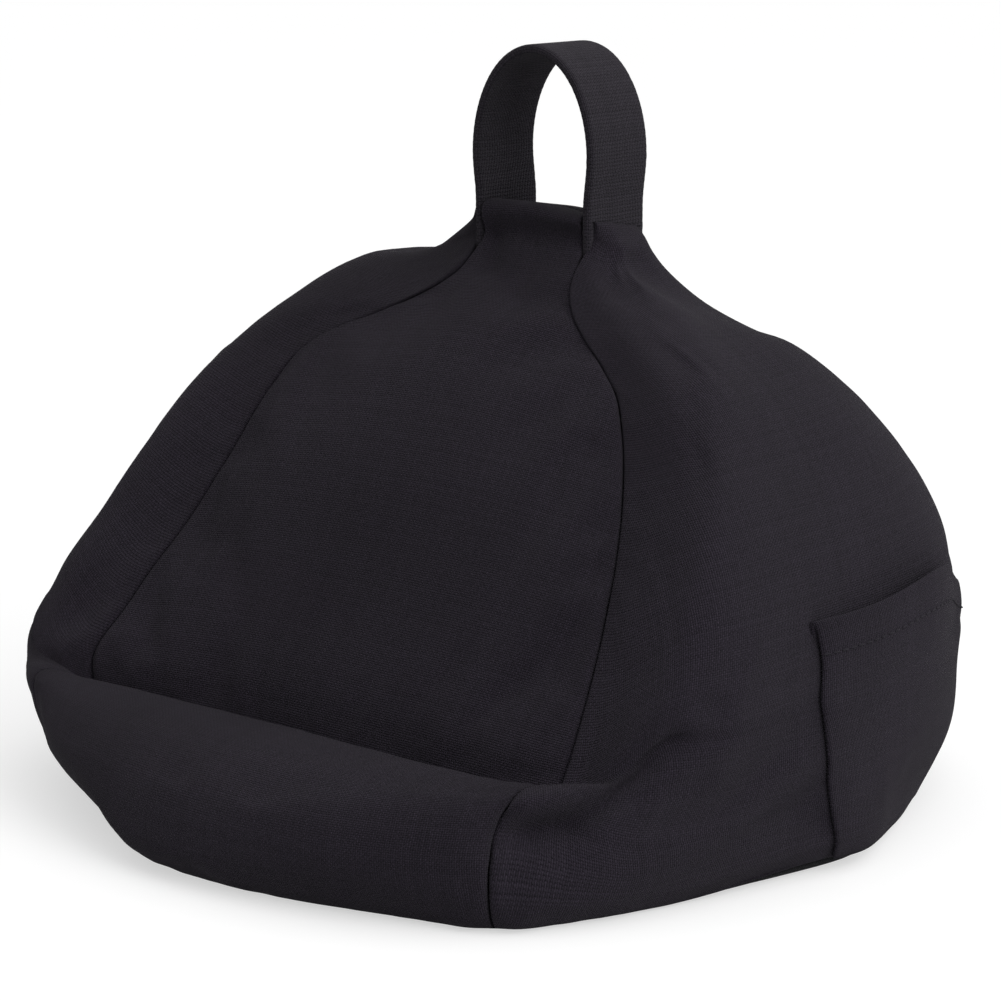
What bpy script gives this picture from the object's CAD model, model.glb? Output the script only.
import math

import bpy
import numpy as np
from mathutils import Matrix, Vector


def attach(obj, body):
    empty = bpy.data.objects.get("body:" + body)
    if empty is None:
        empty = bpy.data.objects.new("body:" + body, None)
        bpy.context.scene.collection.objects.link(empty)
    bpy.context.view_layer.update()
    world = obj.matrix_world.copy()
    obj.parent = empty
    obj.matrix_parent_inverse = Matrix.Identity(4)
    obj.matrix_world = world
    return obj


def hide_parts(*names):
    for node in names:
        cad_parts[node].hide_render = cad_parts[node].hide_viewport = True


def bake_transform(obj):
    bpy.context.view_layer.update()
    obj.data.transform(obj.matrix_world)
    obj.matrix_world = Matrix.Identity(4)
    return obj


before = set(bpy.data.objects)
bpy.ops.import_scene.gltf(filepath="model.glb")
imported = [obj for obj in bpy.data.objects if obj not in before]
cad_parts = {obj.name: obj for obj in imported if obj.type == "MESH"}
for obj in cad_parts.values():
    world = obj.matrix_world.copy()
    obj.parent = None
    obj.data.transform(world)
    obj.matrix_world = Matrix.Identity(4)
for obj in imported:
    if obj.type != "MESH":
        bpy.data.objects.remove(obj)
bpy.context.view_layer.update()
scene = bpy.context.scene

# Body seen from the side
FLOOR_FRONT = 0.131
FLOOR_BACK = 0.124
LIP_FRONT_REACH = 0.020
LIP_HEIGHT = 0.044
LIP_CREST_FRONT = 0.118
CREASE_FRONT = 0.087
CREASE_HEIGHT = 0.034
REST_SLOPE = math.radians(55.5)
BACK_SLOPE = math.radians(53)
BACK_BELLY = 0.139
BACK_CURVE_LENGTH = 0.060
CROWN_AXIS_HEIGHT = 0.1785
CROWN_RADIUS = 0.0168
CROWN_SQUARENESS = 5.0
CROWN_TILT = 0.0022
REST_SWELL = 0.008
REST_SWELL_START = 0.15
BACK_SWELL = 0.005

# Body seen from the front
FLOOR_HALF_WIDTH = 0.128
BELLY_HALF_WIDTH = 0.141
BELLY_HEIGHT = 0.030
RIGHT_SHOULDER_HEIGHT = 0.163
LEFT_SHOULDER_HEIGHT = 0.190
RIGHT_WING = 0.010
LEFT_WING = 0.030
WING_AT_CREASE = 0.4
WING_RISE = 2.2
NECK_HALF_WIDTH = 0.033
NECK_DROP = 0.0093
NECK_LEAN = 1.5
SIDE_CREASE_HEIGHT = 0.058
BACK_CREASE_HEIGHT = 0.062
CREASE_FADE = 0.18
LEG_X = 0.0235
SEAM_FLARE_LEVEL = 1.70
SEAM_STRAP_LEVEL = 1.96
SLIT_LEVEL = 1.975

# Plan of the body: how square its loops are, and the seams as shares of the half width
FRONT_FLOOR_SQUARENESS = 2.75
FRONT_CREASE_SQUARENESS = 6.0
FRONT_REST_SQUARENESS = 8.0
FRONT_NECK_SQUARENESS = 4.0
SQUARE_RISE = 0.35
BACK_FLOOR_SQUARENESS = 3.2
BACK_CREASE_SQUARENESS = 2.8
BACK_NECK_SQUARENESS = 4.0
FRONT_FLOOR_SEAM = 0.72
FRONT_CREASE_SEAM = 0.70
BACK_SEAM = 0.8

# Carry loop of webbing
STRAP_THICKNESS = 0.003
STRAP_WIDTH = 0.030
STRAP_TOP = 0.250
STRAP_FOOT = CROWN_AXIS_HEIGHT - 0.004
STRAP_BOW = 0.0014
BOW_START = 0.196
ARCH_START = 0.213
EDGE_NIP = 0.00015
NIP_PITCH = 0.0012

# Ears of the side panels beside the loop: heights at the front and at the rear
EAR_X = 0.0266
EAR_HALF_LENGTH = 0.0147
EAR_ROUNDING = 0.0012
RIGHT_EAR = (0.1936, 0.1885)
LEFT_EAR = (0.1955, 0.1900)

# Side pocket
POCKET_FRONT_Y = -0.0118
POCKET_FOOT_Y = -0.009
POCKET_EDGE_BOW = 0.0044
POCKET_BACK = 0.985
POCKET_BOTTOM = 0.006
POCKET_MOUTH = 0.081
POCKET_PEAK = 0.005
POCKET_PEAK_Y = 0.048
POCKET_PEAK_WIDTH = 0.026
POCKET_REAR_DROP = 0.008
POCKET_DROP_START = 0.060
POCKET_DROP_LENGTH = 0.035
POCKET_GAPE = 0.0095
GAPE_HELD = 0.42
GAPE_CLOSING = 0.38
POCKET_LIFT = 0.0016
LIFT_LOSS = 0.7
LIFT_HELD = 0.6
LIFT_CLOSING = 0.3
POCKET_PUCKER = 0.0028
PUCKER_Y = 0.088
PUCKER_HEIGHT = 0.064
PUCKER_RADIUS = 0.012
POCKET_HEM = 0.010
HEM_INSET = 0.0016
HEM_LIFT = 0.0004

# Base and its zip channel
BASE_INSET = 0.0019
BASE_HEIGHT = 0.0003
BASE_CORNER = 0.001
CLOSED_SLIT = 0.0003
SLIT_STEP = 0.0002
ZIP_Y = 0.058
ZIP_SLIT = 0.013
ZIP_SLIT_HALF_LENGTH = 0.0845
CHANNEL_DEPTH = 0.005
CHANNEL_RAMP = 0.009
CHANNEL_HALF_WIDTH = 0.0146
CHANNEL_HALF_LENGTH = 0.102

# Mesh
FRONT_COLUMNS = 68
SIDE_COLUMNS = 76
BACK_COLUMNS = 60
LIP_ROWS = 30
REST_ROWS = 46
CROWN_ROWS = 8
QUARTER_SAMPLES = 160
POCKET_ROWS = 26
POCKET_COLUMNS = 44
LEG_STEPS = 40
ARCH_STEPS = 64
BASE_COLUMNS = 97

# Cloth, and how far it may swell or sink
CANVAS = 0.0012
CLOTH_EXCESS = 0.02
CLOTH_PRESSURE = 4.0
CLOTH_FRAMES = 20
START_INSET = 0.0010
START_SEAM_INSET = 0.0018
PUFF_CAP = 0.006
SINK_CAP = 0.0014
FLOOR_CLEARANCE = 0.0004

# Seams and edges
SEAM_SINK = 0.0006
SEAM_FLAP = 0.0050
SEAM_GAP = 0.0001
SLIT_GAP = 0.0020
SLIT_FADE = 0.020
NEAR_EDGE = 0.28
NEAR_EDGE_SINK = 0.3
EAR_TURN = np.array([0.0008, 0.0, 0.0])
FLOOR_TURN_IN = 0.0012
FLOOR_TURN_UP = 0.0030
TOP_TURN_LOSS = 0.8
CROWN_LEAN = 0.0024
CROWN_LEAN_START = -0.002
CROWN_LEAN_WIDTH = 0.024
STITCH_PITCH = 0.0034
STITCH_LENGTH = 0.0027
STITCH_THICKNESS = 0.00065

# Lining bag and filling, drawn in from the cover
LINING_DEPTH = 0.0140
FILLING_DEPTH = 0.0160
MEAN_REACH = 0.1
FILLING_TOP_LEVEL = 1.72
FILLING_DOME = 0.004

# Camera
CAMERA_PLACE = (0.6457, -0.7546, 0.3163)
CAMERA_AIM = (-0.634, 0.743, -0.215)
CAMERA_LENS = 107.9

# Floor and light
FLOOR_SIZE = 40
FLOOR_GREY = 0.50
FLOOR_GLOW = 0.575
ROOM_LIGHT = 0.06
WINDOW_LIGHT = 1.30
WINDOW_SIDE = (0.35, 0.25, 0.90)
LAMP_SIZE = 1.0
LAMP_POWER = 8
LAMP_PLACE = (1.35, -0.20, 0.95)
LAMP_AIM = (-1.35, 0.20, -0.85)


# Profiles and loops of the body


def mix(a, b, share):
    return a + (b - a) * share


def ease(t):
    t = np.clip(t, 0.0, 1.0)
    return t * t * (3.0 - 2.0 * t)


def bezier(*controls, count=80):
    t = np.linspace(0.0, 1.0, count)[:, None]
    points = [np.array(control, float)[None, :] * np.ones_like(t) for control in controls]
    while len(points) > 1:
        points = [mix(a, b, t) for a, b in zip(points, points[1:])]
    return points[0]


def read(wanted, places, rows):
    """Reads rows of values, which belong to rising places, at or between those places."""
    return np.stack([np.interp(wanted, places, column) for column in rows.T], axis=-1)


class Path:
    """A line of points that is read by its share of the whole length."""

    def __init__(self, points):
        self.points = np.array(points, float)
        steps = np.linalg.norm(np.diff(self.points, axis=0), axis=1)
        self.lengths = np.concatenate(([0.0], np.cumsum(steps)))

    def at(self, share):
        return read(np.asarray(share) * self.lengths[-1], self.lengths, self.points)

    def share_at_height(self, height):
        rising = np.maximum.accumulate(self.points[:, 1])
        return np.interp(height, rising, self.lengths) / self.lengths[-1]


rest_out = np.array([-math.sin(REST_SLOPE), math.cos(REST_SLOPE)])
back_out = np.array([math.sin(BACK_SLOPE), math.cos(BACK_SLOPE)])
crease = np.array([-CREASE_FRONT, CREASE_HEIGHT])
crown_rise = CROWN_AXIS_HEIGHT + CROWN_RADIUS * rest_out[1] - CREASE_HEIGHT
crown_y = crease[0] + crown_rise / math.tan(REST_SLOPE) - CROWN_RADIUS * rest_out[0]
crown_axis = np.array([crown_y, CROWN_AXIS_HEIGHT])
crown_top = CROWN_AXIS_HEIGHT + CROWN_RADIUS
neck_top = crown_top - NECK_DROP
rest_top = crown_axis + CROWN_RADIUS * rest_out
back_top = crown_axis + CROWN_RADIUS * back_out

lip_path = Path(np.concatenate([
    bezier(
        (-FLOOR_FRONT, 0.0),
        (-FLOOR_FRONT - LIP_FRONT_REACH, LIP_HEIGHT * 0.25),
        (-LIP_CREST_FRONT - 1.5 * LIP_FRONT_REACH, LIP_HEIGHT),
        (-LIP_CREST_FRONT, LIP_HEIGHT),
    ),
    bezier(
        (-LIP_CREST_FRONT, LIP_HEIGHT),
        (mix(-LIP_CREST_FRONT, -CREASE_FRONT, 0.5), LIP_HEIGHT),
        (mix(-LIP_CREST_FRONT, -CREASE_FRONT, 0.85), mix(LIP_HEIGHT, CREASE_HEIGHT, 0.5)),
        crease,
    )[1:],
]))


def side_path(shoulder):
    foot = bezier(
        (FLOOR_HALF_WIDTH, 0.0),
        (BELLY_HALF_WIDTH, BELLY_HEIGHT * 0.35),
        (BELLY_HALF_WIDTH, BELLY_HEIGHT),
    )
    wall = bezier(
        (BELLY_HALF_WIDTH, BELLY_HEIGHT),
        (BELLY_HALF_WIDTH, shoulder),
        (NECK_HALF_WIDTH, shoulder),
        (NECK_HALF_WIDTH, neck_top),
    )
    return Path(np.concatenate([foot, wall[1:]]))


right_path = side_path(RIGHT_SHOULDER_HEIGHT)
left_path = side_path(LEFT_SHOULDER_HEIGHT)
back_path = Path(np.concatenate([
    bezier(
        (FLOOR_BACK, 0.0),
        (BACK_BELLY, BELLY_HEIGHT * 0.35),
        (BACK_BELLY, BELLY_HEIGHT),
    ),
    bezier(
        (BACK_BELLY, BELLY_HEIGHT),
        (BACK_BELLY, BELLY_HEIGHT + BACK_CURVE_LENGTH),
        back_top + BACK_CURVE_LENGTH * np.array([math.cos(BACK_SLOPE), -math.sin(BACK_SLOPE)]),
        back_top,
    )[1:],
]))


# Level 0 is the floor seam, 1 the crease behind the lip and 2 the foot of the crown roll
def along(path, crease_height, level):
    if level < 1:
        return path.at(level * path.share_at_height(crease_height))
    height = mix(crease_height, path.points[-1, 1], level - 1)
    return path.at(path.share_at_height(height))


def roll_point(outward, share):
    """The crown roll has square shoulders above its foot and slopes down to the rear."""
    angle = mix(math.atan2(outward[1], outward[0]), math.pi / 2, share)
    turned = np.array([math.cos(angle), math.sin(angle)])
    powers = (np.abs(turned) ** CROWN_SQUARENESS).sum()
    squared = ease(share * 3)
    reach = CROWN_RADIUS * mix(1.0, powers ** (-1 / CROWN_SQUARENESS), squared)
    drop = CROWN_TILT * squared * turned[0] * reach / CROWN_RADIUS
    return crown_axis + reach * turned - np.array([0.0, drop])


def front_at(level):
    if level <= 1:
        return lip_path.at(level)
    return mix(crease, rest_top, level - 1)


def back_at(level):
    return along(back_path, BACK_CREASE_HEIGHT, level)


def side_at(path, level):
    return along(path, SIDE_CREASE_HEIGHT, level)


def by_level(level, floor, rest, neck):
    return mix(floor, rest, level ** 4) if level < 1 else mix(rest, neck, min(level - 1, 1))


def front_squareness(level):
    if level < 1:
        return mix(FRONT_FLOOR_SQUARENESS, FRONT_CREASE_SQUARENESS, level ** 4)
    risen = mix(FRONT_CREASE_SQUARENESS, FRONT_REST_SQUARENESS, ease((level - 1) / SQUARE_RISE))
    return mix(risen, FRONT_NECK_SQUARENESS, ease((level - 1 - SQUARE_RISE) / (1 - SQUARE_RISE)))


def wing_share(level):
    if level < 1:
        return WING_AT_CREASE * level ** 5
    return max(2 - level, 0) * (WING_AT_CREASE + WING_RISE * (level - 1))


def split_at_x(points, seam):
    after = max(int(np.argmax(points[:, 0] < seam)), 1)
    before, behind = points[after - 1], points[after]
    cut = mix(before, behind, (before[0] - seam) / (before[0] - behind[0]))
    return np.vstack([points[:after], cut]), np.vstack([cut, points[after:]])


def half_loop(level, front, side, back, wing):
    """The right half of a loop as three runs: front, side and back."""
    middle = crown_y * min(side[1] / neck_top, 1.0) ** NECK_LEAN
    angle = np.linspace(0.0, math.pi / 2, QUARTER_SAMPLES)
    sines = np.clip(np.sin(angle), 0.0, 1.0)
    cosines = np.clip(np.cos(angle), 0.0, 1.0)

    def quarter(reach, square, hollow):
        across = cosines ** (2 / square)
        rise = sines ** (2 / square)
        return np.stack([side[0] * across, middle + rise * (reach - hollow * across ** 2)], axis=1)

    def seam_at(floor, rest):
        flared = side[0] * by_level(level, floor, rest, LEG_X / NECK_HALF_WIDTH)
        return mix(flared, LEG_X, ease((level - SEAM_FLARE_LEVEL) / (SEAM_STRAP_LEVEL - SEAM_FLARE_LEVEL)))

    hollow = wing * wing_share(level)
    square_back = by_level(level, BACK_FLOOR_SQUARENESS, BACK_CREASE_SQUARENESS, BACK_NECK_SQUARENESS)
    front_run = quarter(front[0] - middle, front_squareness(level), hollow)
    back_run = quarter(back[0] - middle, square_back, 0.0)
    front_side, front_half = split_at_x(front_run, seam_at(FRONT_FLOOR_SEAM, FRONT_CREASE_SEAM))
    back_side, back_half = split_at_x(back_run, seam_at(BACK_SEAM, BACK_SEAM))
    return front_half, np.vstack([front_side[::-1], back_side[1:]]), back_half


def swell_at(outward, height, rise, shares):
    """How far the filling pushes a panel out between its seams."""
    rise = min(max(rise, 0.0), 1.0)
    swell = height * math.sin(math.pi * rise) ** 2 * np.sin(math.pi * shares)
    return np.stack([np.zeros_like(shares), outward[0] * swell, outward[1] * swell], axis=1)


def loop_points(level):
    """One level of the body, counted around from the front left seam."""
    front, back = front_at(level), back_at(level)
    right, left = side_at(right_path, level), side_at(left_path, level)
    right_front, right_side, right_back = half_loop(level, front, right, back, RIGHT_WING)
    left_front, left_side, left_back = half_loop(level, front, left, back, LEFT_WING)
    mirror = np.array([-1.0, 1.0])
    runs = [
        (np.vstack([left_front * mirror, right_front[::-1][1:]]), FRONT_COLUMNS),
        (right_side, SIDE_COLUMNS),
        (np.vstack([right_back, (left_back * mirror)[::-1][1:]]), BACK_COLUMNS),
        ((left_side * mirror)[::-1], SIDE_COLUMNS),
    ]
    heights = [front[1], right[1], back[1], left[1]]
    rows = []
    for sector, (run, columns) in enumerate(runs):
        shares = np.arange(columns) / columns
        plan = Path(run).at(shares)
        if sector in (0, 2):
            height = np.full(columns, heights[sector])
        else:
            from_front = shares if sector == 1 else 1 - shares
            near = mix(heights[0], heights[sector], ease(from_front / CREASE_FADE))
            far = mix(heights[sector], heights[2], ease(from_front * 2 - 1))
            height = np.where(from_front < 0.5, near, far)
        points = np.column_stack([plan, height])
        if sector == 0:
            rest_rise = (level - 1 - REST_SWELL_START) / (1 - REST_SWELL_START)
            points += swell_at(rest_out, REST_SWELL, rest_rise, shares)
        if sector == 2:
            points += swell_at(back_out, BACK_SWELL, level / 2, shares)
        rows.append(points)
    return np.vstack(rows)


levels = np.concatenate([
    np.linspace(0.0, 1.0, LIP_ROWS + 1),
    np.linspace(1.0, 2.0, REST_ROWS + 1)[1:],
])
wall = np.stack([loop_points(level) for level in levels])
column_count = wall.shape[1]
seam_columns = [0, *np.cumsum([FRONT_COLUMNS, SIDE_COLUMNS, BACK_COLUMNS])]
sectors = {
    side: slice(first, last + 1)
    for side, first, last in zip(
        ("front", "right", "back", "left"), seam_columns, [*seam_columns[1:], column_count])
}


def unit(vectors):
    return vectors / np.maximum(np.linalg.norm(vectors, axis=-1, keepdims=True), 1e-12)


def grid_normals(grid):
    return unit(np.cross(np.gradient(grid, axis=1), np.gradient(grid, axis=0)))


def ring_normals(grid):
    overlapped = np.concatenate([grid[:, -1:], grid, grid[:, :1]], axis=1)
    return grid_normals(overlapped)[:, 1:-1]


def closed(grid):
    """Repeats a ring's first column after its last one."""
    return np.concatenate([grid, grid[:, :1]], axis=1)


def hump(distance, width):
    return np.exp(-(distance / width) ** 2)


# Soft folds in the cloth: their line, half width and depth, which is below zero for a ridge
FOLDS = [
    ([(0.116, -0.066, 0.088), (0.098, -0.030, 0.128)], 0.0220, 0.0040),
    ([(0.1045, -0.1157, 0.0308), (0.1165, -0.1010, 0.0333), (0.1200, -0.0905, 0.0400),
      (0.1262, -0.0795, 0.0500), (0.1310, -0.0720, 0.0560)], 0.0050, 0.0062),
    ([(0.1085, -0.1110, 0.0316), (0.1165, -0.1010, 0.0333)], 0.0048, 0.0040),
    ([(0.1070, -0.1105, 0.0400), (0.1175, -0.0925, 0.0440)], 0.0052, -0.0034),
    ([(0.1060, -0.1168, 0.0212), (0.1170, -0.1035, 0.0244)], 0.0042, 0.0024),
    ([(-0.112, -0.083, 0.071), (-0.116, -0.088, 0.056)], 0.0060, 0.0022),
    ([(-0.016, 0.018, 0.186), (-0.012, 0.011, 0.174)], 0.0040, 0.0022),
    ([(0.032, 0.020, 0.184), (0.040, 0.012, 0.170)], 0.0050, 0.0020),
    ([(0.060, 0.035, 0.160), (0.085, 0.010, 0.130)], 0.0090, 0.0016),
]


def fold_depth(points, corners, width, depth):
    """How deep a fold is at each point: a trough along a line, which fades at both ends."""
    nearest = np.full(points.shape[:2], np.inf)
    for start, end in zip(corners, corners[1:]):
        run = np.subtract(end, start)
        share = np.clip(((points - start) @ run) / (run @ run), 0.0, 1.0)
        gap = np.linalg.norm(points - start - share[..., None] * run, axis=-1)
        nearest = np.minimum(nearest, gap)
    return depth * hump(nearest, width)


# How the settled filling moves the cloth: how far, the spot on the plan (x, y) and its radius,
# the height above the floor and its half height
LEANS = [
    (0.0138, -0.125, -0.085, 0.045, 0.045, 0.014),
    (0.0052, -0.125, -0.085, 0.045, 0.068, 0.014),
    (-0.0046, -0.122, -0.050, 0.062, 0.106, 0.031),
    (-0.0065, -0.085, -0.122, 0.040, 0.008, 0.014),
]
PUSHES = [
    (0.0047, 0.117, 0.088, 0.060, 0.087, 0.040),
    (-0.0045, 0.127, 0.082, 0.035, 0.011, 0.012),
    (-0.0034, 0.125, 0.095, 0.045, 0.042, 0.030),
    (0.0065, 0.0, -0.131, 0.045, 0.0, 0.020),
    (0.0065, 0.095, -0.108, 0.022, 0.0, 0.020),
    (0.0135, 0.128, 0.006, 0.046, 0.0, 0.020),
    (0.0045, -0.032, -0.135, 0.026, 0.0, 0.020),
]
RISES = [
    (0.0045, -0.045, -0.130, 0.032, 0.0, 0.016),
    (0.0045, 0.135, -0.012, 0.034, 0.0, 0.016),
    (-0.009, -0.050, crown_y, 0.028, 0.182, 0.024),
    (-0.006, 0.052, crown_y + 0.012, 0.028, 0.170, 0.030),
]
LEAN_SIDE = np.array([-0.761, -0.649])
FRONT_SPREAD = 0.0030
SPREAD_HEIGHT = 0.020
SPREAD_LEFT = -0.050
SPREAD_FADE = 0.040
SPREAD_REAR = 0.030


def settle(points):
    """Moves the filling to where it lies: slumped to the front left and spread on the floor."""
    x, y, z = np.moveaxis(points, 2, 0)
    outward = unit(ring_normals(points)[:, :, :2])

    def total(moves):
        return sum(
            far * hump(np.hypot(x - spot_x, y - spot_y), radius) * hump(z - height, half_height)
            for far, spot_x, spot_y, radius, height, half_height in moves
        )[:, :, None]

    front_right = ease((x - SPREAD_LEFT) / SPREAD_FADE) * (1 - ease(y / SPREAD_REAR))
    spread = (FRONT_SPREAD * front_right * hump(z, SPREAD_HEIGHT))[:, :, None]
    shifted = points.copy()
    shifted[:, :, :2] += (total(PUSHES) + spread) * outward + total(LEANS) * LEAN_SIDE
    shifted[:, :, 2:] += total(RISES)
    return shifted


packed_wall = wall
wall = settle(packed_wall)


# Mesh helpers


def new_object(name, points, faces):
    mesh = bpy.data.meshes.new(name)
    mesh.from_pydata([tuple(point) for point in points], [], faces)
    mesh.update()
    made = bpy.data.objects.new(name, mesh)
    scene.collection.objects.link(made)
    return made


def grid_faces(rows, columns, ring):
    faces = []
    for i in range(rows - 1):
        for j in range(columns if ring else columns - 1):
            k = (j + 1) % columns
            faces.append((i * columns + j, i * columns + k, (i + 1) * columns + k, (i + 1) * columns + j))
    return faces


def grid_object(name, grid, ring=False):
    return new_object(name, grid.reshape(-1, 3), grid_faces(*grid.shape[:2], ring))


def lay_threads(piece, coordinates):
    """Stores where each vertex lies on the flat cloth, in metres."""
    while piece.data.uv_layers:
        piece.data.uv_layers.remove(piece.data.uv_layers[0])
    layer = piece.data.uv_layers.new(name="threads")
    corners = np.empty(len(piece.data.loops), dtype=np.int32)
    piece.data.loops.foreach_get("vertex_index", corners)
    layer.data.foreach_set("uv", coordinates.reshape(-1, 2)[corners].ravel())


def cloth_coordinates(grid):
    """Distances on the flat cloth from the middle column and the bottom row."""
    middle = grid.shape[1] // 2
    steps = np.linalg.norm(np.diff(grid, axis=1), axis=2)
    across = np.concatenate([np.zeros((grid.shape[0], 1)), np.cumsum(steps, axis=1)], axis=1)
    across -= across[:, middle:middle + 1]
    rises = np.linalg.norm(np.diff(grid[:, middle], axis=0), axis=1)
    up = np.concatenate([[0.0], np.cumsum(rises)])
    return np.stack([across, np.repeat(up[:, None], grid.shape[1], axis=1)], axis=2)


def make_active(piece):
    bpy.ops.object.select_all(action="DESELECT")
    piece.select_set(True)
    bpy.context.view_layer.objects.active = piece


def finish_mesh(piece, subdivisions=0, thickness=0.0):
    make_active(piece)
    if subdivisions:
        rounding = piece.modifiers.new("Round", "SUBSURF")
        rounding.levels = subdivisions
        rounding.render_levels = subdivisions
        bpy.ops.object.modifier_apply(modifier="Round")
    if thickness:
        doubled = piece.modifiers.new("Thick", "SOLIDIFY")
        doubled.thickness = thickness
        doubled.offset = -1
        doubled.use_even_offset = False
        bpy.ops.object.modifier_apply(modifier="Thick")
    bpy.ops.object.shade_smooth()


def set_finish(piece, material):
    piece.data.materials.clear()
    piece.data.materials.append(material)


def dress(piece, material, body, slot, *nodes):
    set_finish(piece, material)
    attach(piece, body)
    if nodes:
        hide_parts(*nodes)


def aimed(name, data, place, aim):
    """Puts a camera or a lamp in its place and turns it to look along a line."""
    made = bpy.data.objects.new(name, data)
    scene.collection.objects.link(made)
    made.location = place
    made.rotation_euler = Vector(aim).to_track_quat("-Z", "Y").to_euler()
    return made


# Camera at the photographed view
camera_data = bpy.data.cameras.new("camera")
camera_data.lens = CAMERA_LENS
scene.camera = aimed("camera", camera_data, CAMERA_PLACE, CAMERA_AIM)


# Finishes


class Finish:
    """A material whose nodes are added one by one."""

    def __init__(self, name, roughness):
        self.material = bpy.data.materials.new(name)
        self.material.use_nodes = True
        self.tree = self.material.node_tree
        self.shader = self.tree.nodes["Principled BSDF"]
        self.set(self.shader, Roughness=roughness)

    def node(self, kind, **inputs):
        made = self.tree.nodes.new("ShaderNode" + kind)
        self.set(made, **inputs)
        return made

    def set(self, node, **inputs):
        for name, value in inputs.items():
            self.feed(node.inputs[name.replace("_", " ")], value)

    def feed(self, socket, value):
        if isinstance(value, bpy.types.NodeSocket):
            self.tree.links.new(value, socket)
        elif socket.type == "VECTOR":
            socket.default_value = value[:3]
        else:
            socket.default_value = value

    def math(self, operation, *values):
        made = self.node("Math")
        made.operation = operation
        for socket, value in zip(made.inputs, values):
            self.feed(socket, value)
        return made.outputs[0]

    def number_of(self, value):
        """A random number from 0 to 1 for each whole number."""
        made = self.node("TexWhiteNoise")
        made.noise_dimensions = "1D"
        self.feed(made.inputs["W"], value)
        return made.outputs["Value"]

    def blend(self, share, first, second):
        made = self.node("Mix")
        made.data_type = "RGBA"
        self.feed(made.inputs["Factor"], share)
        self.feed(made.inputs[6], first)
        self.feed(made.inputs[7], second)
        return made.outputs[2]

    def shade(self, colour, light):
        made = self.node("VectorMath")
        made.operation = "SCALE"
        self.feed(made.inputs[0], colour)
        self.feed(made.inputs["Scale"], light)
        return made.outputs["Vector"]

    def noise(self, place, scale, detail=3.0):
        made = self.node("TexNoise", Vector=place, Scale=scale, Detail=detail)
        return made.outputs["Fac"]

    def spread(self, value, low, high, out_low, out_high):
        made = self.node("MapRange")
        for socket, number in zip(made.inputs, (value, low, high, out_low, out_high)):
            self.feed(socket, number)
        return made.outputs["Result"]

    def bump(self, height, distance, strength=1.0):
        made = self.node("Bump", Height=height, Distance=distance, Strength=strength)
        self.set(self.shader, Normal=made.outputs["Normal"])

    def paint(self, colour):
        self.set(self.shader, Base_Color=colour)

    def seen_directly(self):
        """1 for rays from the camera and for those mirrored or let through."""
        rays = self.node("LightPath").outputs
        mirrored = self.math("MAXIMUM", rays["Is Camera Ray"], rays["Is Glossy Ray"])
        return self.math("MAXIMUM", mirrored, rays["Is Transmission Ray"])


class Sky(Finish):
    """The world's nodes, added one by one like a material's."""

    def __init__(self, world):
        self.tree = world.node_tree


def woven(name, pitch, warp_colour, weft_colour, relief, from_map=True, ribs=1.0):
    """Plain weave: warp and weft threads that pass over and under each other."""
    finish = Finish(name, 0.9)
    where = finish.node("TexCoord")
    solid = where.outputs["Object"]
    cloth = where.outputs["UV"] if from_map else solid
    split = finish.node("SeparateXYZ", Vector=cloth)
    drift = finish.spread(finish.noise(solid, 90.0, 2.0), 0.0, 1.0, -0.35, 0.35)
    across = finish.math("ADD", finish.math("DIVIDE", split.outputs["X"], pitch), drift)
    along_cloth = finish.math("SUBTRACT", finish.math("DIVIDE", split.outputs["Y"], pitch * ribs), drift)
    warp_wave = finish.math("SINE", finish.math("MULTIPLY", across, math.pi))
    weft_wave = finish.math("SINE", finish.math("MULTIPLY", along_cloth, math.pi))
    over = finish.math("MULTIPLY", finish.math("MULTIPLY", warp_wave, weft_wave), 0.5)
    warp_over = finish.math("ADD", 0.5, over)
    weft_over = finish.math("SUBTRACT", 0.5, over)
    warp_height = finish.math("MULTIPLY", finish.math("ABSOLUTE", warp_wave), warp_over)
    weft_height = finish.math("MULTIPLY", finish.math("ABSOLUTE", weft_wave), weft_over)
    height = finish.math("MAXIMUM", warp_height, weft_height)
    on_top = finish.math("GREATER_THAN", warp_height, weft_height)
    warp_shade = finish.number_of(finish.math("FLOOR", across))
    weft_shade = finish.number_of(finish.math("ADD", finish.math("FLOOR", along_cloth), 0.5))
    thread_shade = finish.math("ADD", weft_shade, finish.math(
        "MULTIPLY", on_top, finish.math("SUBTRACT", warp_shade, weft_shade)))
    fibres = finish.noise(solid, 1400.0, 2.0)
    faded = finish.noise(solid, 14.0, 4.0)
    light = finish.math("MULTIPLY", finish.spread(thread_shade, 0.0, 1.0, 0.88, 1.12),
                        finish.spread(height, 0.0, 0.8, 0.66, 1.10))
    light = finish.math("MULTIPLY", light, finish.spread(fibres, 0.3, 0.7, 0.75, 1.25))
    light = finish.math("MULTIPLY", light, finish.spread(faded, 0.3, 0.7, 0.88, 1.12))
    finish.paint(finish.shade(finish.blend(on_top, weft_colour, warp_colour), light))
    finish.set(finish.shader, Roughness=finish.spread(fibres, 0.2, 0.8, 0.82, 0.98))
    finish.set(finish.shader, Sheen_Weight=0.03, Sheen_Roughness=0.5, Specular_IOR_Level=0.08)
    finish.bump(finish.math("ADD", height, finish.math("MULTIPLY", fibres, 0.25)), relief)
    return finish.material


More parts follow.
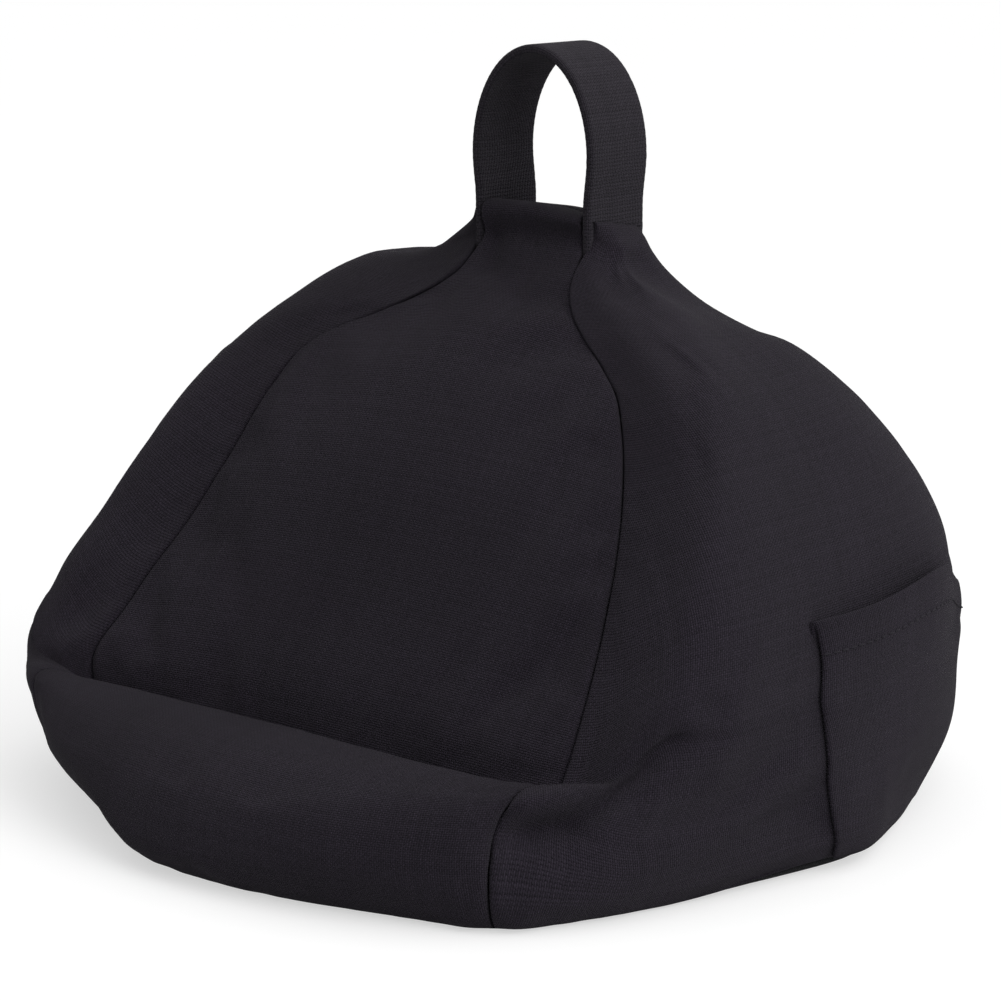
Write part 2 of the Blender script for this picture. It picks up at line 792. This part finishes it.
def moulded(name, colour, roughness, metallic):
    """Moulded or lacquered surface with fine grain and rubbed patches."""
    finish = Finish(name, roughness)
    solid = finish.node("TexCoord").outputs["Object"]
    grain = finish.noise(solid, 2200.0, 3.0)
    rubbed = finish.noise(solid, 160.0, 4.0)
    light = finish.math("MULTIPLY", finish.spread(grain, 0.3, 0.7, 0.85, 1.15),
                        finish.spread(rubbed, 0.45, 0.75, 0.9, 1.6))
    finish.paint(finish.shade(colour, light))
    worn = finish.spread(rubbed, 0.3, 0.7, roughness + 0.1, roughness - 0.08)
    finish.set(finish.shader, Roughness=worn, Metallic=metallic)
    finish.bump(grain, 0.00005)
    return finish.material


def beaded(name, colour):
    """Packed round beads."""
    finish = Finish(name, 0.7)
    solid = finish.node("TexCoord").outputs["Object"]
    cells = finish.node("TexVoronoi", Vector=solid, Scale=280.0)
    apart = cells.outputs["Distance"]
    finish.paint(finish.shade(colour, finish.spread(apart, 0.0, 0.7, 1.0, 0.6)))
    finish.bump(finish.math("SUBTRACT", 1.0, apart), 0.002)
    return finish.material


canvas = woven(
    "charcoal_canvas", 0.00075, (0.029, 0.0235, 0.034, 1), (0.023, 0.0195, 0.027, 1), 0.0005)
base_canvas = woven(
    "black_base_cloth", 0.0009, (0.010, 0.010, 0.012, 1), (0.012, 0.012, 0.013, 1), 0.0004)
webbing = woven(
    "black_webbing", 0.0009, (0.032, 0.028, 0.036, 1), (0.026, 0.023, 0.029, 1), 0.0005, ribs=1.3)
tape_weave = woven(
    "zip_tape_weave", 0.0006, (0.011, 0.011, 0.012, 1), (0.014, 0.014, 0.015, 1), 0.0002, from_map=False)
liner_weave = woven(
    "undyed_lining", 0.0006, (0.60, 0.59, 0.55, 1), (0.56, 0.55, 0.51, 1), 0.0002)
thread = woven(
    "charcoal_thread", 0.0003, (0.030, 0.027, 0.034, 1), (0.024, 0.022, 0.027, 1), 0.0001, from_map=False)
zip_plastic = moulded("zip_plastic_satin", (0.015, 0.015, 0.016, 1), 0.45, 0.0)
zip_lacquer = moulded("zip_lacquer", (0.02, 0.02, 0.022, 1), 0.38, 0.3)
beads = beaded("polystyrene_beads", (0.85, 0.85, 0.84, 1))


# Cloth simulation of the wall


def puff(points, excess, pressure, frames):
    """The wall as cloth with some excess, held at its seams and blown up from inside."""
    body = grid_object("cover_puff", points, ring=True)
    pins = body.vertex_groups.new(name="seams")
    held = np.zeros(points.shape[:2], bool)
    held[[0, -1]] = True
    held[:, seam_columns] = True
    held[LIP_ROWS, :FRONT_COLUMNS] = True
    pins.add(np.flatnonzero(held).tolist(), 1.0, "REPLACE")
    modifier = body.modifiers.new("Cloth", "CLOTH")
    cloth = modifier.settings
    cloth.quality = 6
    cloth.use_pressure = True
    cloth.uniform_pressure_force = pressure
    cloth.shrink_min = -excess
    cloth.bending_stiffness = 0.3
    cloth.vertex_group_mass = "seams"
    cloth.effector_weights.gravity = 0.0
    modifier.collision_settings.use_collision = False
    for number in range(1, frames + 1):
        scene.frame_set(number)
    graph = bpy.context.evaluated_depsgraph_get()
    shaped = body.evaluated_get(graph).to_mesh()
    result = np.empty(len(shaped.vertices) * 3)
    shaped.vertices.foreach_get("co", result)
    scene.frame_set(1)
    bpy.data.objects.remove(body)
    return result.reshape(points.shape)


wall_normals = ring_normals(wall)
inset = np.full(column_count, START_INSET)
inset[seam_columns] = START_SEAM_INSET
# The cloth starts a little inside the wall, less so at the floor and towards the crown
held_back = mix(1.0, 0.25, ease((levels - 1.6) / 0.4)) * ease(levels / 0.15)
start = wall - wall_normals * inset[None, :, None] * held_back[:, None, None]
start[0, :, 2] = np.maximum(wall[0, :, 2], 0.0)
puffed = puff(start, CLOTH_EXCESS, CLOTH_PRESSURE, CLOTH_FRAMES)
moved = puffed - wall
distance = np.linalg.norm(moved, axis=2, keepdims=True)
puffed = wall + moved * np.tanh(distance / PUFF_CAP) * PUFF_CAP / np.maximum(distance, 1e-9)
shift = np.einsum("ijk,ijk->ij", puffed - wall, wall_normals)
sunk = np.minimum(shift, 0.0)
eased_shift = shift - sunk + SINK_CAP * np.tanh(sunk / SINK_CAP)
puffed += wall_normals * (eased_shift - shift)[:, :, None]
folded = sum(fold_depth(wall, *fold) for fold in FOLDS)
puffed -= wall_normals * folded[:, :, None]
puffed[:, :, 2] = np.maximum(puffed[:, :, 2], FLOOR_CLEARANCE)
shift = eased_shift - folded


# Panels of the cover, with the profile of the crown's front edge about its axis
crown_shares = np.linspace(0.0, 0.985, CROWN_ROWS + 1)[1:]
front_roll = Path([
    CROWN_RADIUS * rest_out,
    (-0.0157, 0.0128),
    (-0.0163, 0.0152),
    (-0.0160, 0.0172),
    (-0.0146, 0.0184),
    (-0.0105, 0.0186),
    (0.0, CROWN_RADIUS),
])


def crown_roll(foot, spots):
    """Carries a panel's top row over the crown, which is lower on the right, to the top seam."""
    rows = []
    for share, spot in zip(crown_shares, spots):
        row = foot.copy()
        row[:, 1:] = crown_axis + spot + (foot[:, 1:] - foot[:, 1:].mean(axis=0)) * (1 - ease(share * 2))
        to_right = ease((foot[:, 0] - CROWN_LEAN_START) / CROWN_LEAN_WIDTH)
        row[:, 2] -= CROWN_LEAN * to_right * ease(share * 3)
        rows.append(row)
    return np.stack(rows)


def ear(foot, side, front_height, rear_height):
    """Carries a side panel's top row up to an edge along the strap's leg."""
    from_axis = np.linspace(-side, side, len(foot))
    rounding = EAR_ROUNDING * np.abs(from_axis) ** 4
    edge = np.stack([
        np.full(len(foot), side * EAR_X),
        crown_y + from_axis * EAR_HALF_LENGTH,
        mix(front_height, rear_height, (from_axis + 1) / 2) - rounding,
    ], axis=1)
    return np.stack([mix(foot, edge, share) for share in crown_shares])


def draw_in(grid, gaps):
    """Holds each row back from its two seams by a gap."""
    drawn = np.empty_like(grid)
    for i, (row, gap) in enumerate(zip(grid, gaps)):
        path = Path(row)
        margin = min(gap / path.lengths[-1], 0.4)
        drawn[i] = path.at(np.linspace(margin, 1 - margin, len(row)))
    return drawn


def swap(grid):
    return grid.transpose(1, 0, 2)


def edge_lines(grid, turn_first, turn_last):
    """Adds a line beside the first and last column, rounds both over and turns them in."""

    def rounded(edge, beside, turn):
        sink = unit(turn) * SEAM_SINK
        return [edge + sink + turn, edge + sink, mix(edge, beside, NEAR_EDGE) + sink * NEAR_EDGE_SINK]

    columns = swap(grid)
    first = rounded(columns[0], columns[1], turn_first)
    last = rounded(columns[-1], columns[-2], turn_last)
    return np.stack([*first, *columns[1:-1], *last[::-1]], axis=1)


def longer(turn):
    """Repeats the turn of the end rows for the lines that the other two edges add."""
    return np.pad(turn, ((2, 2), (0, 0)), mode="edge")


def cover_panel(name, grid, gaps, node, sides, bottom, top):
    """One panel of canvas, with all its edges turned in."""
    drawn = draw_in(grid, gaps)
    upright = swap(edge_lines(swap(drawn), bottom, top))
    full = edge_lines(upright, longer(sides[0]), longer(sides[1]))
    panel = grid_object(name, full)
    lay_threads(panel, cloth_coordinates(full))
    finish_mesh(panel, 1, CANVAS)
    dress(panel, canvas, "bag", "canvas", node)


around = closed(puffed)
around_in = closed(-ring_normals(puffed))
slit = SEAM_GAP + (SLIT_GAP - SEAM_GAP) * ease((levels - SLIT_LEVEL + SLIT_FADE) / SLIT_FADE)
slit = np.concatenate([slit, np.full(CROWN_ROWS, SLIT_GAP)])
floor_turn = around_in[0] * FLOOR_TURN_IN + (0, 0, FLOOR_TURN_UP)
back_roll = [roll_point(back_out, share) - crown_axis for share in crown_shares]


def side_turns(sector, grid, slit_turn):
    """How a panel's two long edges turn in: with the next panel's in a seam, alone beside the strap."""
    own = -grid_normals(grid)
    alone = own * SEAM_FLAP if slit_turn is None else np.ones_like(own) * slit_turn
    turns = []
    for column, edge in ((sectors[sector].start, 0), (sectors[sector].stop - 1, -1)):
        shared = np.concatenate([around_in[:, column], own[len(levels):, edge]])
        opened = ease((slit - SEAM_GAP) / (SLIT_GAP - SEAM_GAP))[:, None]
        turns.append(shared * SEAM_FLAP * (1 - opened) + alone[:, edge] * opened)
    return turns


def tall_panel(sector, crown, slit_turn, top_turn):
    """A panel up to the crown, and how its long edges and its top turn in, the top less at its ends."""
    grid = np.concatenate([around[:, sectors[sector]], crown])
    turns = side_turns(sector, grid, slit_turn)
    from_middle = np.linspace(-1.0, 1.0, grid.shape[1])
    top = np.outer(1 - TOP_TURN_LOSS * from_middle ** 6, top_turn)
    return grid, turns, top


front = around[:, sectors["front"]]
top_seam = np.array([0.0, 0.0, -SEAM_FLAP])
crease_turn = around_in[LIP_ROWS, sectors["front"]] * SEAM_FLAP
rest_grid, rest_turns, rest_top_turn = tall_panel(
    "front", crown_roll(front[-1], front_roll.at(crown_shares)), None, top_seam)
cover_panel("lip_canvas", rest_grid[:LIP_ROWS + 1], slit[:LIP_ROWS + 1], "front_lip_panel",
            [turn[:LIP_ROWS + 1] for turn in rest_turns], floor_turn[sectors["front"]], crease_turn)
cover_panel("rest_canvas", rest_grid[LIP_ROWS:], slit[LIP_ROWS:], "tablet_rest_panel",
            [turn[LIP_ROWS:] for turn in rest_turns], crease_turn, rest_top_turn)
tops = {sector: around[-1, columns] for sector, columns in sectors.items()}
for name, sector, node, slit_turn, crown, top_turn in (
    ("right_canvas", "right", "right_side_panel", -EAR_TURN, ear(tops["right"], 1, *RIGHT_EAR), -EAR_TURN),
    ("back_canvas", "back", "back_panel", None, crown_roll(tops["back"], back_roll), top_seam),
    ("left_canvas", "left", "left_side_panel", EAR_TURN, ear(tops["left"], -1, *LEFT_EAR), EAR_TURN),
):
    grid, turns, top = tall_panel(sector, crown, slit_turn, top_turn)
    cover_panel(name, grid, slit, node, turns, floor_turn[sectors[sector]], top)


# Stitches


def stitch_row(name, points, normals):
    """A row of equal stitches along a line on the cloth."""
    path = Path(points)
    count = int(path.lengths[-1] / STITCH_PITCH)
    shares = (np.arange(count) + 0.5) / count
    spots = path.at(shares)
    heads = unit(path.at(np.minimum(shares + 0.002, 1)) - path.at(np.maximum(shares - 0.002, 0)))
    ups = read(shares, np.linspace(0, 1, len(normals)), normals)
    ups = unit(ups - heads * np.einsum("ij,ij->i", ups, heads)[:, None])
    bpy.ops.mesh.primitive_uv_sphere_add(segments=6, ring_count=5, radius=0.5)
    one = bpy.context.object
    size = (STITCH_THICKNESS, STITCH_THICKNESS, STITCH_LENGTH)
    shape = np.array([vertex.co for vertex in one.data.vertices]) * size
    faces = [tuple(face.vertices) for face in one.data.polygons]
    bpy.data.objects.remove(one)
    axes = np.stack([ups, np.cross(heads, ups), heads], axis=1)
    points_made = []
    faces_made = []
    for i in range(count):
        faces_made += [tuple(corner + i * len(shape) for corner in face) for face in faces]
        points_made.append(spots[i] + shape @ axes[i])
    row = new_object(name, np.concatenate(points_made), faces_made)
    finish_mesh(row)
    dress(row, thread, "bag", "canvas")
    return row


# Pocket on the right side


def line_at(grid, share):
    place = share * (grid.shape[1] - 1)
    first = min(int(place), grid.shape[1] - 2)
    return mix(grid[:, first], grid[:, first + 1], place - first)


def at_height(line, other, height):
    """Reads the values that go with a rising line of points where the line has this height."""
    rising = np.maximum.accumulate(line[:, 2])
    place = np.interp(height, rising, np.arange(len(line)))
    return read(place, np.arange(len(other)), other)


def smoothed(field, times):
    for _ in range(times):
        padded = np.pad(field, 1, mode="edge")
        field = (padded[:-2, 1:-1] + padded[2:, 1:-1] + padded[1:-1, :-2] + padded[1:-1, 2:]) / 4
    return field


right_wall = wall[:, sectors["right"]]
right_normals = grid_normals(right_wall)
right_shift = shift[:, sectors["right"]]
right_cover = right_wall + right_normals * np.maximum(right_shift, smoothed(right_shift, 8))[:, :, None]
pocket_points = np.zeros((POCKET_ROWS + 1, POCKET_COLUMNS + 1, 3))
pocket_normals = np.zeros_like(pocket_points)
side_shares = np.linspace(0.0, 1.0, SIDE_COLUMNS + 1)


def share_at(y, height):
    """Where the right panel, from its front seam to its rear one, has this y at a height."""
    reached = [at_height(line, line, height)[1] for line in swap(right_cover)]
    return np.interp(y, np.maximum.accumulate(reached), side_shares)


def pocket_mouth(y):
    """Height of the mouth, with a peak in the middle and a drop to the rear."""
    peak = POCKET_PEAK * hump(y - POCKET_PEAK_Y, POCKET_PEAK_WIDTH)
    return POCKET_MOUTH + peak - POCKET_REAR_DROP * ease((y - POCKET_DROP_START) / POCKET_DROP_LENGTH)


def stand_off(share, rise, y, height):
    """How far the pocket stands off the bag: it gapes in front and puckers at the rear."""
    gape = POCKET_GAPE * math.sin(math.pi * share ** 0.8) ** 0.9 * rise ** 1.6
    gape *= 1 - ease((share - GAPE_HELD) / GAPE_CLOSING)
    pucker = POCKET_PUCKER * hump(math.hypot(y - PUCKER_Y, height - PUCKER_HEIGHT), PUCKER_RADIUS)
    lift = POCKET_LIFT * (1 - LIFT_LOSS * ease((share - LIFT_HELD) / LIFT_CLOSING))
    return gape + pucker + lift


rises = np.linspace(0.0, 1.0, POCKET_ROWS + 1)
edge_ys = mix(POCKET_FOOT_Y, POCKET_FRONT_Y, rises) - POCKET_EDGE_BOW * np.sin(math.pi * rises)
edge_heights = mix(POCKET_BOTTOM, POCKET_MOUTH, rises)
edge_shares = [share_at(y, height) for y, height in zip(edge_ys, edge_heights)]
front_shares = np.polyval(np.polyfit(rises, edge_shares, 4), rises)
for i, (rise, front_share) in enumerate(zip(rises, front_shares)):
    for j, share in enumerate(np.linspace(0.0, 1.0, POCKET_COLUMNS + 1)):
        place = mix(front_share, POCKET_BACK, share)
        line = line_at(right_cover, place)
        mouth = pocket_mouth(at_height(line, line, POCKET_MOUTH)[1])
        height = mix(POCKET_BOTTOM, mouth, rise)
        spot = at_height(line, line, height)
        out = at_height(line, line_at(right_normals, place), height)
        pocket_points[i, j] = spot + out * stand_off(share, rise, spot[1], height)
        pocket_normals[i, j] = out
hem_rows = []
for drop in np.linspace(0.0, 1.0, 6):
    row = pocket_points[-1] - pocket_normals[-1] * HEM_INSET
    row[:, 2] -= POCKET_HEM * drop - HEM_LIFT
    hem_rows.append(row)
pocket_cloth = np.concatenate([pocket_points, hem_rows])
pocket = grid_object("pocket_canvas", pocket_cloth)
lay_threads(pocket, cloth_coordinates(pocket_cloth))
finish_mesh(pocket, 1, CANVAS)
dress(pocket, canvas, "bag", "canvas", "side_pocket")


def hem_line(below):
    """A line across the pocket at a distance below its mouth."""
    row = POCKET_ROWS * (1 - below / (POCKET_MOUTH - POCKET_BOTTOM))
    low = int(row)
    return mix(pocket_points[low], pocket_points[low + 1], row - low)


hem_out = pocket_normals[-4]
hem_stitches = stitch_row("pocket_hem_stitches", hem_line(POCKET_HEM) + hem_out * 0.0001, hem_out)


# Carry loop


def straight_loop():
    """Webbing with straight legs and a round arch, made by pushing its cut end along."""
    arch_height = STRAP_TOP - STRAP_THICKNESS / 2 - LEG_X
    step = (arch_height - STRAP_FOOT) / LEG_STEPS
    bpy.ops.mesh.primitive_grid_add(x_subdivisions=2, y_subdivisions=12, size=1)
    strap = bpy.context.object
    strap.name = "carry_loop_webbing"
    bpy.ops.object.mode_set(mode="EDIT")
    bpy.ops.mesh.select_all(action="SELECT")
    bpy.ops.transform.resize(value=(STRAP_THICKNESS, STRAP_WIDTH, 1))
    bpy.ops.transform.translate(value=(LEG_X, crown_y, STRAP_FOOT))
    for _ in range(LEG_STEPS):
        bpy.ops.mesh.extrude_region_move(TRANSFORM_OT_translate={"value": (0, 0, step)})
    bpy.ops.mesh.spin(steps=ARCH_STEPS, angle=math.pi, center=(0, crown_y, arch_height), axis=(0, 1, 0))
    for _ in range(LEG_STEPS):
        bpy.ops.mesh.extrude_region_move(TRANSFORM_OT_translate={"value": (0, 0, -step)})
    bpy.ops.mesh.select_all(action="SELECT")
    bpy.ops.mesh.remove_doubles(threshold=0.00001)
    bpy.ops.mesh.normals_make_consistent(inside=False)
    bpy.ops.object.mode_set(mode="OBJECT")
    return strap, arch_height


def loop_line():
    """Middle line of the loop: legs that bow out a little under a tall arch."""
    rise = np.linspace(STRAP_FOOT, ARCH_START, 60)
    bow = STRAP_BOW * ease((rise - BOW_START) / (ARCH_START - BOW_START))
    leg = np.stack([LEG_X + bow, rise], axis=1)
    turn = np.linspace(0.0, math.pi, 120)[1:-1]
    width = LEG_X + STRAP_BOW
    height = STRAP_TOP - STRAP_THICKNESS / 2 - ARCH_START
    arch = np.stack([width * np.cos(turn), ARCH_START + height * np.sin(turn)], axis=1)
    return Path(np.concatenate([leg, arch, leg[::-1] * (-1, 1)]))


strap, arch_height = straight_loop()
strap_x, strap_y, strap_z = np.array([vertex.co for vertex in strap.data.vertices]).T
from_arch = strap_z - arch_height
on_arch = from_arch > 0
arch_run = np.arctan2(from_arch, strap_x) * LEG_X
arch_length = math.pi * LEG_X
leg_run = np.where(strap_x > 0, from_arch, arch_length - from_arch)
along_strap = np.where(on_arch, arch_run, leg_run)
from_centre = np.where(on_arch, np.hypot(from_arch, strap_x), np.abs(strap_x))
outward_by = from_centre - LEG_X
leg_length = arch_height - STRAP_FOOT
strap_shares = (along_strap + leg_length) / (2 * leg_length + arch_length)
middle_line = loop_line()
ahead = middle_line.at(np.minimum(strap_shares + 0.004, 1.0))
behind = middle_line.at(np.maximum(strap_shares - 0.004, 0.0))
heading = unit(ahead - behind)
outside = np.stack([heading[:, 1], -heading[:, 0]], axis=1)
placed = middle_line.at(strap_shares) + outside * outward_by[:, None]
across_strap = strap_y - crown_y
at_edge = np.abs(across_strap) > STRAP_WIDTH * 0.49
in_or_out = np.where(np.round(along_strap / NIP_PITCH) % 2 > 0, 1, -1)
nip = np.where(at_edge, EDGE_NIP * np.sign(across_strap) * in_or_out, 0.0)
for vertex, spot, shift_y in zip(strap.data.vertices, placed, nip):
    vertex.co = (spot[0], vertex.co.y + shift_y, spot[1])
lay_threads(strap, np.stack([across_strap + outward_by, along_strap], axis=1))
finish_mesh(strap, 1)
set_finish(strap, webbing)
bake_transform(strap)
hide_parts("handle_strap")


# Base in two cloths that meet at the zip


def channel_rise(x, y):
    """How high the base lies over the zip's channel."""
    along_zip = (CHANNEL_HALF_LENGTH + CHANNEL_RAMP - np.abs(x)) / CHANNEL_RAMP
    across_zip = (CHANNEL_HALF_WIDTH + CHANNEL_RAMP - np.abs(y - ZIP_Y)) / CHANNEL_RAMP
    return CHANNEL_DEPTH * np.clip(np.minimum(along_zip, across_zip), 0.0, 1.0)


def base_cloth(name, side, node):
    """One side of the base, from the zip out to the wall's lower edge."""
    ring = puffed[0] - wall_normals[0] * (1, 1, 0) * BASE_INSET
    arc = ring[(ring[:, 1] - ZIP_Y) * side > 0]
    arc = arc[np.argsort(np.arctan2(arc[:, 0], (arc[:, 1] - ZIP_Y) * side))]
    path = Path(arc)
    half_chord = min(abs(arc[0, 0]), abs(arc[-1, 0])) - BASE_CORNER
    spots = np.linspace(-half_chord, half_chord, BASE_COLUMNS)
    slit_ends = np.outer([-1, 1], [ZIP_SLIT_HALF_LENGTH - SLIT_STEP, ZIP_SLIT_HALF_LENGTH + SLIT_STEP])
    spots = np.unique(np.append(spots, slit_ends))
    outer = path.at((spots + half_chord) / (2 * half_chord))
    half_slit = np.where(np.abs(spots) < ZIP_SLIT_HALF_LENGTH, ZIP_SLIT / 2, CLOSED_SLIT)
    inner = np.stack([spots, ZIP_Y + side * half_slit, np.zeros_like(spots)], axis=1)
    near_zip = [0.0, 0.06, 0.12, 0.17, 0.22]
    near_edge = [0.925, 0.95, 0.965, 0.98, 0.99, 1.0]
    shares = np.concatenate([near_zip, np.linspace(0.3, 0.9, 13), near_edge])
    grid = np.stack([mix(inner, outer, share) for share in shares])
    edge_rise = np.outer(shares ** 40, outer[:, 2])
    grid[:, :, 2] = BASE_HEIGHT + channel_rise(grid[:, :, 0], grid[:, :, 1]) + edge_rise
    cloth = grid_object(name, grid)
    lay_threads(cloth, grid[:, :, :2])
    if np.mean([face.normal.z for face in cloth.data.polygons]) > 0:
        cloth.data.flip_normals()
    finish_mesh(cloth, 0, CANVAS)
    dress(cloth, base_canvas, "bag", "base_cloth", node)


base_cloth("base_front_cloth", -1, "base_panel_front")
base_cloth("base_rear_cloth", 1, "base_panel_rear")


# Filling in its own thin bag


def inner_bag(name, depth, material, slot, node):
    """A bag inside the cover, drawn in at each level, that ends below the strap's feet."""
    below_strap = levels < FILLING_TOP_LEVEL
    middles = packed_wall.mean(axis=1, keepdims=True)
    rows = mix(packed_wall, middles, depth / MEAN_REACH)[below_strap][::2, ::2]
    rows[:, :, 2] = np.maximum(rows[:, :, 2] - depth, CHANNEL_DEPTH + 2 * CANVAS + depth / 4)
    count, columns, _ = rows.shape
    top_point = rows[-1].mean(axis=0) + (0, 0, FILLING_DOME)
    bottom_point = (0, 0, rows[0, :, 2].min())
    points = np.concatenate([rows.reshape(-1, 3), [top_point], [bottom_point]])
    faces = grid_faces(count, columns, ring=True)
    last = (count - 1) * columns
    for j in range(columns):
        k = (j + 1) % columns
        faces.append((last + j, last + k, count * columns))
        faces.append((k, j, count * columns + 1))
    bag = new_object(name, points, faces)
    lay_threads(bag, points[:, :2])
    finish_mesh(bag)
    dress(bag, material, "bag", slot, node)


inner_bag("lining_bag", LINING_DEPTH, liner_weave, "liner_cloth", "inner_liner")
inner_bag("bead_mass", FILLING_DEPTH, beads, "foam_beads", "bead_filling")


# Zip


def zip_finish(node):
    if node.startswith("zip_tape"):
        return tape_weave
    return zip_lacquer if node in ("zip_slider", "zip_pull") else zip_plastic


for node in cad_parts:
    if node.startswith("zip_"):
        set_finish(bpy.data.objects[node], zip_finish(node))


# White studio
bpy.ops.mesh.primitive_plane_add(size=FLOOR_SIZE, location=(0, 0, 0))
floor = bpy.context.object
floor.name = "floor"
paper = Finish("white_paper", 0.9)
paper.paint((FLOOR_GREY, FLOOR_GREY, FLOOR_GREY, 1))
glow = paper.math("MULTIPLY", paper.seen_directly(), FLOOR_GLOW)
paper.set(paper.shader, Specular_IOR_Level=0.0, Emission_Color=(1, 1, 1, 1), Emission_Strength=glow)
floor.data.materials.append(paper.material)

world = bpy.data.worlds.new("studio")
scene.world = world
world.use_nodes = True
sky = Sky(world)
towards_window = sky.node("VectorMath")
towards_window.operation = "DOT_PRODUCT"
sky.feed(towards_window.inputs[0], sky.node("TexCoord").outputs["Generated"])
sky.feed(towards_window.inputs[1], WINDOW_SIDE)
facing = sky.math("MAXIMUM", towards_window.outputs["Value"], 0.0)
room_light = sky.math("ADD", sky.math("MULTIPLY", facing, WINDOW_LIGHT), ROOM_LIGHT)
seen = sky.seen_directly()
strength = sky.math("ADD", sky.math("MULTIPLY", room_light, sky.math("SUBTRACT", 1.0, seen)), seen)
sky.set(sky.tree.nodes["Background"], Color=(1, 1, 1, 1), Strength=strength)

lamp_data = bpy.data.lights.new("softbox", "AREA")
lamp_data.size = LAMP_SIZE
lamp_data.energy = LAMP_POWER
aimed("softbox", lamp_data, LAMP_PLACE, LAMP_AIM)
scene.view_settings.view_transform = "Standard"
